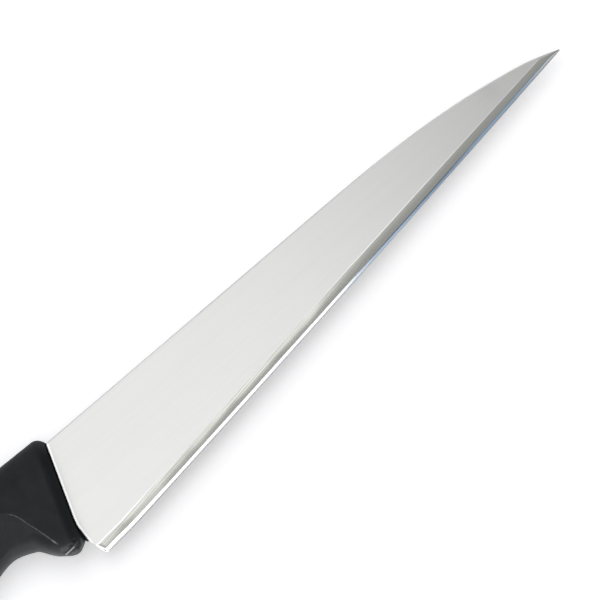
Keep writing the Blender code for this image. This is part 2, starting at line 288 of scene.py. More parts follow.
def settle(obj: Object, sharp: float) -> None:
    """Clean a finished mesh and shade it, with creases where its materials meet.

    Args:
        obj: The object.
        sharp: Angle from which an edge is a crease.
    """
    pick(obj)
    bpy.ops.object.mode_set(mode="EDIT")
    bpy.ops.mesh.select_mode(type="EDGE")
    bpy.ops.mesh.select_all(action="SELECT")
    bpy.ops.mesh.remove_doubles(threshold=MERGE_DISTANCE)
    bpy.ops.mesh.dissolve_degenerate(threshold=MERGE_DISTANCE)
    bpy.ops.mesh.select_all(action="DESELECT")
    shape = bmesh.from_edit_mesh(obj.data)
    for edge in shape.edges:
        if len({face.material_index for face in edge.link_faces}) > 1:
            edge.select_set(True)
    bmesh.update_edit_mesh(obj.data)
    bpy.ops.mesh.mark_sharp()
    bpy.ops.object.mode_set(mode="OBJECT")
    bpy.ops.object.shade_smooth_by_angle(angle=math.radians(sharp), keep_sharp_edges=True)


# Materials


class Nodes:
    """A node tree, with short ways to add and join its nodes."""

    def __init__(self, tree: bpy.types.NodeTree) -> None:
        """Take the tree."""
        self.tree = tree

    def put(self, node: bpy.types.Node, name: str | int, value: object) -> None:
        """Join a socket to an input, or set a plain value on it."""
        if isinstance(value, Socket):
            self.tree.links.new(value, node.inputs[name])
        else:
            node.inputs[name].default_value = value

    def add(
        self, kind: str, inputs: dict[str | int, object] | None = None, **settings: object
    ) -> bpy.types.Node:
        """Add a node.

        Args:
            kind: Type of the node, without its prefix.
            inputs: Values or sockets for its inputs.
            **settings: Values for its properties.

        Returns:
            The node.
        """
        node = self.tree.nodes.new(f"ShaderNode{kind}")
        for name, value in settings.items():
            setattr(node, name, value)
        for name, value in (inputs or {}).items():
            self.put(node, name, value)
        return node

    def calc(self, operation: str, *values: object) -> Socket:
        """Return the result of a Math node."""
        return self.add("Math", dict(enumerate(values)), operation=operation).outputs[0]

    def vector(self, operation: str, *values: object) -> bpy.types.NodeOutputs:
        """Return the outputs of a Vector Math node."""
        return self.add("VectorMath", dict(enumerate(values)), operation=operation).outputs

    def follow(self, value: object, ramp: Ramp, kind: str = "SMOOTHSTEP") -> Socket:
        """Return the height of a ramp at a value."""
        inputs = {0: value, 1: ramp.start, 2: ramp.stop, 3: ramp.first, 4: ramp.last}
        return self.add("MapRange", inputs, interpolation_type=kind).outputs[0]

    def mix(self, share: object, first: object, second: object) -> Socket:
        """Return a number between two, by a share."""
        return self.add("Mix", {0: share, 2: first, 3: second}, data_type="FLOAT").outputs[0]

    def blend(self, share: object, first: object, second: object) -> Socket:
        """Return a colour between two, by a share."""
        return self.add("Mix", {0: share, 6: first, 7: second}, data_type="RGBA").outputs[2]


class Sheet(Nodes):
    """The nodes of one material."""

    def __init__(self, name: str) -> None:
        """Start a material with its shader and Object coordinates."""
        self.material = bpy.data.materials.new(name)
        self.material.use_nodes = True
        super().__init__(self.material.node_tree)
        self.shader = self.tree.nodes["Principled BSDF"]
        self.place = self.add("TexCoord").outputs["Object"]

    def noise(
        self, size: float | Sequence[float], detail: float = 2.0, rough: float = 0.5, turn: float = 0.0
    ) -> Socket:
        """Add a noise.

        Args:
            size: Size of its grain, or one size along each axis.
            detail: Number of finer grains in it.
            rough: Strength of these.
            turn: Turn of its axes about Z.

        Returns:
            The noise's socket, between 0 and 1.
        """
        sizes = (size,) * 3 if isinstance(size, float) else size
        inputs = {"Vector": self.place, "Rotation": (0.0, 0.0, math.radians(turn)), "Scale": sizes}
        stretched = self.add("Mapping", inputs, vector_type="TEXTURE").outputs[0]
        inputs = {"Vector": stretched, "Scale": 1.0, "Detail": detail, "Roughness": rough}
        return self.add("TexNoise", inputs).outputs["Fac"]

    def stroke(self, place: Socket, start: Sequence[float], stop: Sequence[float], half: float) -> Socket:
        """Mask a straight stroke, seen from above.

        Args:
            place: Place in the drawing.
            start: The stroke's first end.
            stop: Its other end.
            half: Half of its width.

        Returns:
            The mask's socket, 1 inside the stroke and 0 outside.
        """
        run = Vector((stop[0] - start[0], stop[1] - start[1], 0.0))
        away = self.vector("MULTIPLY_ADD", place, (1.0, 1.0, 0.0), (-start[0], -start[1], 0.0))[0]
        share = self.vector("DOT_PRODUCT", away, tuple(run / run.length_squared))["Value"]
        share = self.add("Clamp", {0: share}).outputs[0]
        nearest = self.add("VectorMath", {0: tuple(run), "Scale": share}, operation="SCALE").outputs[0]
        distance = self.vector("DISTANCE", away, nearest)["Value"]
        return self.follow(distance, Ramp(half * 0.6, half * 1.4, 1.0, 0.0))

    def coat(self, inputs: dict[str, object], height: Socket, depth: float) -> bpy.types.Material:
        """Finish the material.

        Args:
            inputs: Values or sockets for the shader.
            height: Height of the surface's relief, between 0 and 1.
            depth: Depth of the relief.

        Returns:
            The material.
        """
        bump = self.add("Bump", {"Height": height, "Distance": depth, "Strength": 1.0})
        for name, value in {**inputs, "Normal": bump.outputs[0]}.items():
            self.put(self.shader, name, value)
        return self.material


def grey(level: float, warm: float = 0.0, yellow: float = 0.0) -> tuple[float, float, float, float]:
    """Return an opaque grey, a little warm or cold, or with some of its blue taken out."""
    return (level * (1 + warm), level, level * (1 - warm - yellow), 1.0)


# What the pieces share


@dataclass(frozen=True)
class HandleLines:
    """The lines, seen from above, and the sizes that blade, collar and handle share."""

    front_rake: float = 20.0
    lower_rake: float = 2.5
    rake_kept: Ramp = Ramp(0.0140, 0.0500, 1.0, 0.0)
    knee_drop: float = 0.0255
    knee_softness: float = 0.0025
    front_round_length: float = 0.0047
    front_round_depth: float = 0.0030
    lip_drop: float = 0.0318
    choil_rake: float = 14.7
    thickness: float = 0.0180
    length: float = 0.1290
    side_round: float = 0.0080
    seam: float = 0.0010
    gap: float = 0.0003
    shoulder_drop: float = 0.0270
    stock: float = 0.0020

    @property
    def top_line(self) -> Line:
        """The handle's upper outline, by distance behind its front."""
        tail = (self.length - 0.0330, 0.0038), (self.length, -0.0029)
        return ((0.0, 0.0031), (0.0166, 0.0036), (0.0600, 0.0054), *tail)

    @property
    def bottom_line(self) -> Line:
        """The handle's lower outline, by distance behind its front."""
        guard = (0.0, -0.0306), (0.0046, -0.0327), (0.0099, -0.0297), (0.0154, -0.0239)
        grip = (0.0260, -0.0214), (0.0600, -0.0272), (self.length - 0.0360, -0.0252)
        return (*guard, *grip, (self.length - 0.0130, -0.0305), (self.length, -0.0287))

    def front_x(self, y: float) -> float:
        """Return X of the handle's front line, which turns steeper below its knee.

        Args:
            y: Height in the drawing.

        Returns:
            X in the drawing.
        """
        below = -y - self.knee_drop
        turned = max(below, 0.0)
        if abs(below) < self.knee_softness:
            turned = (below + self.knee_softness) ** 2 / (4 * self.knee_softness)
        return slope(self.front_rake) * y + (slope(self.front_rake) - slope(self.lower_rake)) * turned

    def behind_front(self, back: float, y: float) -> float:
        """Return X at a distance behind the front, whose slant fades out along the handle."""
        return self.front_x(y) * self.rake_kept.at(back) - back

    def choil_x(self, y: float) -> float:
        """Return X of the blade's rear edge at a height."""
        return self.front_x(-self.lip_drop) - (self.lip_drop + y) * slope(self.choil_rake)

    def front_loss(self, back: float) -> float:
        """Return how far the rounded front draws the handle in."""
        return self.front_round_depth * max(0.0, 1 - back / self.front_round_length) ** 2

    def ring(
        self, back: float, top: float, bottom: float, half: float, corner: float, steps: tuple[int, int, int]
    ) -> list[Vector]:
        """Draw a section with flat sides and a rounded top and bottom.

        Args:
            back: Distance behind the front.
            top: Height of its top.
            bottom: Height of its bottom.
            half: Half of its thickness.
            corner: Height of each rounding.
            steps: Numbers of parts of the upper rounding, the side and the lower rounding.

        Returns:
            The corners, down the right side and up the left.
        """
        corner = min(corner, 0.48 * (top - bottom))
        seam = self.seam / 2
        out = half - seam
        right = [(top - corner * (1 - math.cos(a)), seam + out * math.sin(a)) for a in quarter(steps[0])]
        right += [(y, half) for y in spread(top - corner, bottom + corner, steps[1])[1:-1]]
        right += [(bottom + corner * (1 - math.sin(a)), seam + out * math.cos(a)) for a in quarter(steps[2])]
        ring = right + [(y, -z) for y, z in reversed(right)]
        return [Vector((self.behind_front(back, y), y, z)) for y, z in ring]


@dataclass(frozen=True)
class Tang:
    """The flat tang, with a slanted front inside the blade's root and a rounded rear end."""

    lines: HandleLines
    top: float = -0.0030
    low: float = -0.0162
    root: float = 0.0045
    end_wall: float = 0.0160
    end_round: float = 0.0050
    pins_back: tuple[float, float, float] = (0.0380, 0.0685, 0.0990)
    pin_y: float = -0.0096
    hole_radius: float = 0.0028

    def outline(self, grown: float = 0.0) -> Line:
        """Draw the tang's outline.

        Args:
            grown: Clearance all round.

        Returns:
            The outline's points.
        """
        top, low, corner = self.top + grown, self.low - grown, self.end_round + grown
        centre_x = self.end_wall - self.lines.length - grown + corner
        points = [(self.lines.front_x(top) - self.root, top)]
        for centre_y, first in ((top - corner, 90), (low + corner, 180)):
            for angle in spread(math.radians(first), math.radians(first + 90), 12):
                points.append((centre_x + corner * math.cos(angle), centre_y + corner * math.sin(angle)))
        points.append((self.lines.front_x(low) - self.root, low))
        return points


@dataclass(frozen=True)
class Datum:
    """Where the drawing's zero lies in the frame."""

    zero: Vector

    @classmethod
    def from_frame(cls, blade_reach: float) -> "Datum":
        """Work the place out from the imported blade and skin."""
        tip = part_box("blade")[1]
        low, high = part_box("grip_skin")
        return cls(Vector((tip.x - blade_reach, tip.y, (low.z + high.z) / 2)))

    def place(self, sheet: Sheet) -> Socket:
        """Return the place in the drawing, for a material."""
        return sheet.vector("SUBTRACT", sheet.place, tuple(self.zero))[0]

    def axes(self, sheet: Sheet) -> bpy.types.NodeOutputs:
        """Return X, Y and Z in the drawing, for a material."""
        return sheet.add("SeparateXYZ", {0: self.place(sheet)}).outputs

    def extrude(
        self, name: str, sections: Iterable[Sequence[Vector]], surfaces: Sequence[int] | None = None
    ) -> Object:
        """Extrude sections of the drawing into a solid in the frame, as extrude_through does."""
        moved = [[self.zero + point for point in section] for section in sections]
        return extrude_through(name, moved, surfaces)

    def plate(self, name: str, outline: Line, thickness: float) -> Object:
        """Extrude a flat outline, centred on the middle of the steel."""
        heights = (-thickness / 2, thickness / 2)
        return self.extrude(name, [[Vector((x, y, z)) for x, y in outline] for z in heights])

    def drum(
        self,
        name: str,
        centre: tuple[float, float],
        profile: Line,
        corners: int,
        reach: Callable[[float], float] = lambda angle: 1.0,
    ) -> Object:
        """Extrude rings round an upright axis into a solid.

        Args:
            name: Name of the new object.
            centre: Place of the axis in the drawing.
            profile: Sizes and heights of the rings.
            corners: Number of corners of a ring.
            reach: Gives the distance, at an angle, that a ring's size is multiplied by.

        Returns:
            The new object.
        """
        sides = [(reach(a) * math.cos(a), reach(a) * math.sin(a)) for a in spread(0.0, 2 * math.pi, corners)]
        rings = [
            [Vector((centre[0] + size * x, centre[1] + size * y, z)) for x, y in sides[:-1]]
            for size, z in profile
        ]
        return self.extrude(name, rings)


# Finishes

# A mask is drawn on the sheet that it is given, and returns a socket between 0 and 1.
Mask = Callable[[Sheet], Socket]


@dataclass(frozen=True)
class GroundSteel:
    """Steel with the fine lines of its last grinding."""

    name: str
    level: float
    roughness: float
    turn: float = 0.0
    streak: float = 0.06
    line_depth: float = 0.0000012
    yellow: float = 0.0
    line_size: tuple[float, float, float] = (0.030, 0.00012, 0.00012)
    streak_size: tuple[float, float, float] = (1 / 9, 1 / 900, 1 / 900)
    cloud_size: float = 1 / 60
    # Painted highlight: the paler grey that a highlight mask paints in, and the smoother roughness under it.
    highlight_level: float = 0.93
    polished_roughness: float = 0.22

    def material(self, painted_highlight: Mask | None = None, contrast: Mask | None = None) -> bpy.types.Material:
        """Build the material.

        Args:
            painted_highlight: Gives the mask of a painted highlight, paler steel that is also smoother.
            contrast: Gives the share of the streaks' contrast that a place has.

        Returns:
            The material.
        """
        sheet = Sheet(self.name)
        fine = sheet.noise(self.line_size, 4.0, 0.6, self.turn)
        broad = sheet.noise(self.streak_size, 3.0, 0.55, self.turn)
        mixed = sheet.mix(0.3, broad, sheet.noise(self.cloud_size, 3.0))
        if contrast is not None:
            mixed = sheet.calc("MULTIPLY_ADD", sheet.calc("SUBTRACT", mixed, 0.5), contrast(sheet), 0.5)
        ends = [grey(self.level * (1 + way * self.streak), yellow=self.yellow) for way in (-1, 1)]
        colour = sheet.blend(sheet.follow(mixed, Ramp(0.3, 0.7)), *ends)
        swing = 2 * self.streak * self.roughness
        rough = sheet.follow(mixed, Ramp(0.3, 0.7, self.roughness + swing, self.roughness - swing))
        # Painted highlight: paler, smoother steel where the mask is.
        if painted_highlight is not None:
            mask = painted_highlight(sheet)
            colour = sheet.blend(mask, colour, grey(self.highlight_level))
            rough = sheet.mix(mask, rough, self.polished_roughness)
        return sheet.coat({"Base Color": colour, "Roughness": rough, "Metallic": 1.0}, fine, self.line_depth)


@dataclass(frozen=True)
class MouldedPlastic:
    """Moulded plastic with a fine grain, painted paler where a highlight mask is given."""

    name: str
    level: float
    roughness: float
    gloss: float
    grain: float = 0.00040
    grain_depth: float = 0.00002
    cloud_size: float = 1 / 220
    # The grey of painted highlights.
    highlight_grey: float = 0.03
    gloss_tint: tuple[float, float, float, float] = (0.93, 0.99, 1.07, 1.0)

    def material(self, highlight_mask: Mask | None = None) -> bpy.types.Material:
        """Build the material.

        Args:
            highlight_mask: Gives the mask of the painted highlights.

        Returns:
            The material.
        """
        sheet = Sheet(self.name)
        grain = sheet.noise(self.grain, 3.0, 0.6)
        mixed = sheet.mix(0.4, grain, sheet.noise(self.cloud_size, 3.0, 0.55))
        ends = [grey(self.level * share, -0.10) for share in (0.7, 1.35)]
        colour = sheet.blend(sheet.follow(mixed, Ramp(0.35, 0.65)), *ends)
        # Painted highlights: paler grey where the mask is.
        if highlight_mask is not None:
            colour = sheet.blend(highlight_mask(sheet), colour, grey(self.highlight_grey, -0.04))
        inputs = {
            "Base Color": colour,
            "Roughness": sheet.follow(mixed, Ramp(0.35, 0.65, self.roughness * 1.08, self.roughness * 0.92)),
            "Specular IOR Level": self.gloss,
            "Specular Tint": self.gloss_tint,
        }
        return sheet.coat(inputs, grain, self.grain_depth)


# The knife's pieces


@dataclass
class Piece:
    """What every modelled piece is drawn from."""

    lines: HandleLines
    tang: Tang
    datum: Datum


@dataclass
class Blade(Piece):
    """The single-bevelled blade with its tang.

    Its ramps run along X in the drawing, apart from that of the painted highlight along the handle's front,
    which runs ahead of that front. The bevel's widths are those at the heel, half-way and at the tip, and
    each facet of the second bevel has its share of that bevel's width and its angle.
    """

    reach: float = 0.2007
    heel_drop: float = 0.0388
    heel_round: float = 0.0018
    heel_sweep: float = 0.0018
    heel_bevel: float = 0.62
    heel_lift: Ramp = Ramp(-0.006, 0.006, 0.0004, 0.0)
    belly: float = 0.0005
    point_length: float = 0.0860
    point_fall: float = 0.0095
    nip_length: float = 0.0110
    nip_fall: float = 0.0009
    tip_width: float = 0.0004
    face_stock: float = 0.0018
    back_grind: float = 0.0001
    spine_ease: float = 0.00036
    choil_ease: float = 0.00025
    distal_taper: float = 0.62
    point_taper: float = 0.50
    point_taper_length: float = 0.030
    steepest_face: float = 4.0
    bevel_widths: tuple[float, float, float] = (0.0040, 0.00425, 0.0029)
    bevel_angle: Ramp = Ramp(0.135, 0.175, 13.4, 14.1)
    bevel_turn: Ramp = Ramp(0.135, 0.175, 3.6, 1.6)
    turn_kept: Ramp = Ramp(-0.006, 0.054, 0.3, 1.0)
    widest_bevel: float = 0.80
    micro: Ramp = Ramp(-0.004, 0.026, 0.00112, 0.00088)
    micro_facets: Line = ((0.34, 21.0), (0.36, 19.6), (0.30, 17.6))
    widest_micro: float = 0.40
    keen: Ramp = Ramp(0.092, 0.126, 0.00034, 0.00030)
    keen_angle: float = 30.0
    edge_stock: float = 0.00008
    ground_line: Ramp = Ramp(0.004, 0.018, 0.0005, 0.0003)
    ground_line_tilt: float = 6.0
    stray: Ramp = Ramp(0.070, 0.130, 0.00006, 0.0)
    stray_lengths: tuple[float, float] = (0.0037, 0.0016)
    shoulder_below: float = 0.0007
    round_steps: int = 3
    face_steps: int = 5
    bevel_steps: int = 6
    # Painted highlight along the handle's front, by distance ahead of it.
    front_highlight: Ramp = Ramp(0.00045, 0.00080, 1.0, 0.0)
    # Painted highlights on the ground line, along X.
    line_highlight: tuple[Ramp, Ramp] = (Ramp(0.004, 0.030, 0.5, 0.0), Ramp(0.085, 0.125, 0.0, 0.75))
    streaks_kept: Ramp = Ramp(0.090, 0.120, 1.0, 0.25)

    def spine_y(self, x: float) -> float:
        """Return the spine's height at X."""
        bend = max(0.0, (x - self.reach + self.point_length) / self.point_length)
        nip = max(0.0, (x - self.reach + self.nip_length) / self.nip_length)
        return -self.point_fall * bend**2.5 - self.nip_fall * nip**1.2

    def edge_y(self, x: float) -> float:
        """Return the cutting edge's height at X."""
        heel = self.lines.choil_x(-self.heel_drop)
        rise = self.spine_y(self.reach) - self.tip_width + self.heel_drop
        u = (x - heel) / (self.reach - heel)
        return rise * u - self.heel_drop - self.belly * 4 * u * (1 - u) + self.heel_lift.at(x)

    def bevel_width(self, share: float) -> float:
        """Return the whole bevel's width, a curve through its widths at heel, middle and tip."""
        heel, middle, tip = self.bevel_widths
        return heel + (tip - heel) * share + (middle - (heel + tip) / 2) * 4 * share * (1 - share)

    def hand_wave(self, x: float) -> float:
        """Return how far the ground line strays at X, as it does under a grinder's hand."""
        long, short = self.stray_lengths
        return self.stray.at(x) * (math.sin(x / long + 0.6) + 0.6 * math.sin(x / short))

    def bevels(self, x: float, full: float) -> Line:
        """Draw the bevels from the cutting edge up to the ground line.

        Args:
            x: Place along the edge.
            full: Width of the whole bevel.

        Returns:
            Distances from the edge and heights above the flat back: the keen edge's two ends, then the ends
            of the second bevel's facets, the last of which is where the main bevel starts.
        """
        micro = min(self.micro.at(x), self.widest_micro * full)
        facets = [(min(self.keen.at(x), micro / 2), self.keen_angle)]
        facets += [(micro * share, angle) for share, angle in self.micro_facets]
        points = [(0.0, self.edge_stock)]
        for width, angle in facets:
            away, height = points[-1]
            points.append((away + width, height + width * slope(angle)))
        return points

    def section(self, share: float) -> list[Vector]:
        """Draw the blade's section.

        Args:
            share: Share of the way from the rear edge to the tip.

        Returns:
            The corners, down the bevelled side and up the back.
        """
        rear, heel = self.lines.choil_x(0.0), self.lines.choil_x(-self.heel_drop)
        top_x = rear + (self.reach - rear) * share
        low_x = heel + (self.reach - heel) * share
        top = Vector((top_x, self.spine_y(top_x), 0.0))
        edge = Vector((low_x, self.edge_y(low_x), 0.0))
        across = (edge - top).normalized()
        from_heel = low_x - heel
        width = (edge - top).length - corner_loss(from_heel, self.heel_round)

        full_bevel = min(self.bevel_width(share), self.widest_bevel * width)
        steps = self.bevels(low_x, full_bevel)
        micro, micro_stock = steps[-1]
        bevel_stock = micro_stock + (full_bevel - micro) * slope(self.bevel_angle.at(low_x))
        thinning = Ramp(self.reach - self.point_taper_length, self.reach, 1.0, self.point_taper).at(top_x)
        thinning *= 1.0 - (1.0 - self.distal_taper) * share
        highest = bevel_stock + (width - full_bevel) * slope(self.steepest_face)
        stock = min(max(self.face_stock * thinning, bevel_stock), highest)
        ease = min(self.spine_ease, width / 8, stock / 3.2)

        def face(w: float) -> float:
            """Return the face's height at a distance from the spine."""
            return stock + (bevel_stock - stock) * (w - ease) / (width - full_bevel - ease)

        swept = 1.0 - corner_loss(from_heel, self.heel_sweep) / self.heel_sweep
        bevel = micro + (full_bevel - micro) * (self.heel_bevel + (1.0 - self.heel_bevel) * swept)
        line = min(self.ground_line.at(low_x), (bevel - micro) / 3)
        steady = min(1.0, full_bevel / self.bevel_widths[-1])
        start = width - bevel - line / 2 + self.hand_wave(low_x) * swept * steady
        line_stock = face(start) - line * slope(self.ground_line_tilt)

        high = []
        for angle in quarter(self.round_steps):
            high.append((ease * (1 - math.cos(angle)), stock - ease * (1 - math.sin(angle))))
        high += [(w, face(w)) for w in spread(ease, start, self.face_steps)[1:]]
        main = width - micro - start - line
        swell = math.radians(self.bevel_turn.at(low_x) * self.turn_kept.at(low_x)) * main / 8
        for u in spread(0.0, 1.0, self.bevel_steps):
            height = line_stock + (micro_stock - line_stock) * u + swell * 4 * u * (1 - u)
            high.append((start + line + main * u, height))
        high += [(width - away, height) for away, height in reversed(steps[:-1])]

        back = self.back_grind - self.lines.stock / 2
        loss = corner_loss(from_heel, self.choil_ease)
        upper, lower = [], []
        for w, height in high:
            under = max(0.0, stock - height) if w < ease else 0.0
            drawn_in = min(loss, (height - under) / 3)
            upper.append(top + across * w + Vector((0.0, 0.0, back + height - drawn_in)))
            lower.append(top + across * w + Vector((0.0, 0.0, back + under + drawn_in)))
        return upper + lower[::-1]

    def surfaces(self) -> list[Ground]:
        """List the ground surfaces round the section.

        Returns:
            The surface that starts at each corner.
        """
        facets = len(self.micro_facets)
        back = self.face_steps + self.bevel_steps + facets + 2
        counts = (self.face_steps, 1, self.bevel_steps, facets, 2, back, self.round_steps + 1)
        walls = [ground for ground, count in zip(Ground, counts) for _ in range(count)]
        return [Ground.SPINE] * self.round_steps + walls

    def shares(self) -> list[float]:
        """Place the sections, close together at the heel and at the tip.

        Returns:
            Their shares of the way from the rear edge to the tip.
        """
        length = self.reach - self.lines.choil_x(-self.heel_drop)
        bend, nip = 1.0 - self.point_length / length, 1.0 - self.nip_length / length
        ease = [self.choil_ease / length * (1 - math.cos(a)) for a in quarter(4)]
        legs = (2 * self.heel_sweep / length, 14), (bend, 110), (nip, 60), (1.0, 16)
        return ease[:-1] + chain(ease[-1], *legs)

    def finishes(self) -> list[bpy.types.Material]:
        """Build the steel of each ground surface.

        Returns:
            The materials, in the order of Ground.
        """

        def painted_highlight(sheet: Sheet) -> Socket:
            """Mask the painted highlight along the handle's front, on a stretch that is also smoother."""
            lines = self.lines
            x, y, _ = self.datum.axes(sheet)
            rake, lower = slope(lines.front_rake), slope(lines.lower_rake)
            below = sheet.calc("MULTIPLY_ADD", y, -1.0, -lines.knee_drop)
            turned = sheet.calc("SMOOTH_MAX", below, 0.0, 1.5 * lines.knee_softness)
            front = sheet.calc("MULTIPLY_ADD", turned, rake - lower, sheet.calc("MULTIPLY", y, rake))
            return sheet.follow(sheet.calc("SUBTRACT", x, front), self.front_highlight)

        def painted_line_highlight(sheet: Sheet) -> Socket:
            """Mask the ground line's painted highlights, at the heel and along the front half."""
            x = self.datum.axes(sheet)[0]
            return sheet.calc("MAXIMUM", *(sheet.follow(x, ramp) for ramp in self.line_highlight))

        def streaks(sheet: Sheet) -> Socket:
            """Return the share of the bevel's streaks, which fade out towards the tip."""
            return sheet.follow(self.datum.axes(sheet)[0], self.streaks_kept)

        turn = math.degrees(math.atan2(self.heel_drop - self.point_fall, self.reach))
        face = GroundSteel("blade_face", 0.66, 0.30, streak=0.010, line_depth=1e-7, yellow=0.010)
        line = GroundSteel("ground_line", 0.68, 0.28, turn, streak=0.012, line_depth=1e-7)
        bevel = GroundSteel(
            "main_bevel",
            0.71,
            0.13,
            turn,
            streak=0.13,
            line_depth=6e-7,
            yellow=0.060,
            streak_size=(1 / 45, 1 / 2400, 1 / 2400),
        )
        # The face and the ground line get painted highlights through their masks.
        return [
            face.material(painted_highlight),
            line.material(painted_line_highlight),
            bevel.material(contrast=streaks),
            GroundSteel("cutting_bevel", 0.74, 0.10, turn, streak=0.02, line_depth=3e-7).material(),
            GroundSteel("keen_edge", 0.72, 0.25, turn, streak=0.02, line_depth=3e-7).material(),
            GroundSteel("blade_back", 0.66, 0.28).material(),
            GroundSteel("spine", 0.79, 0.26).material(),
            GroundSteel("tang_steel", 0.50, 0.40, streak=0.15).material(),
        ]

    def build(self) -> Object:
        """Model the blade, join its tang and cut its shoulder and pin holes.

        Returns:
            The finished blade.
        """
        lines, tang = self.lines, self.tang
        materials = self.finishes()
        steel = materials[Ground.TANG]
        blade = self.datum.extrude("ground_blade", map(self.section, self.shares()), self.surfaces())
        dress(blade, *materials)
        high, low = -lines.shoulder_drop, -lines.lip_drop - self.shoulder_below
        shoulder = [(lines.front_x(y) + lines.gap, y) for y in (high, low)]
        shoulder += [(lines.choil_x(0.0) - CUT_PAST, y) for y in (low, high)]
        combine(blade, self.datum.plate("shoulder_cut", shoulder, 4 * lines.stock), steel)
        combine(blade, self.datum.plate("tang", tang.outline(), lines.stock), steel, operation="UNION")
        hole = [(tang.hole_radius, z) for z in (-2 * lines.stock, 2 * lines.stock)]
        for back in tang.pins_back:
            combine(blade, self.datum.drum("pin_hole", (-back, tang.pin_y), hole, 32), steel)
        settle(blade, 25.0)
        return blade


@dataclass(frozen=True)
class Hollow:
    """A moulded groove, or a pit where its two ends are one."""

    ends: tuple[float, float]
    y: float
    reach: float
    depth: float

    def at(self, x: float, y: float) -> float:
        """Return its depth at a point of the drawing."""
        away = math.hypot(max(self.ends[0] - x, x - self.ends[1], 0.0), y - self.y) / self.reach
        return self.depth * max(0.0, 1.0 - away**2)


@dataclass(frozen=True)
class PaintedHighlight:
    """A painted highlight: a pale line on the skin."""

    points: Line
    half: float
    strength: float


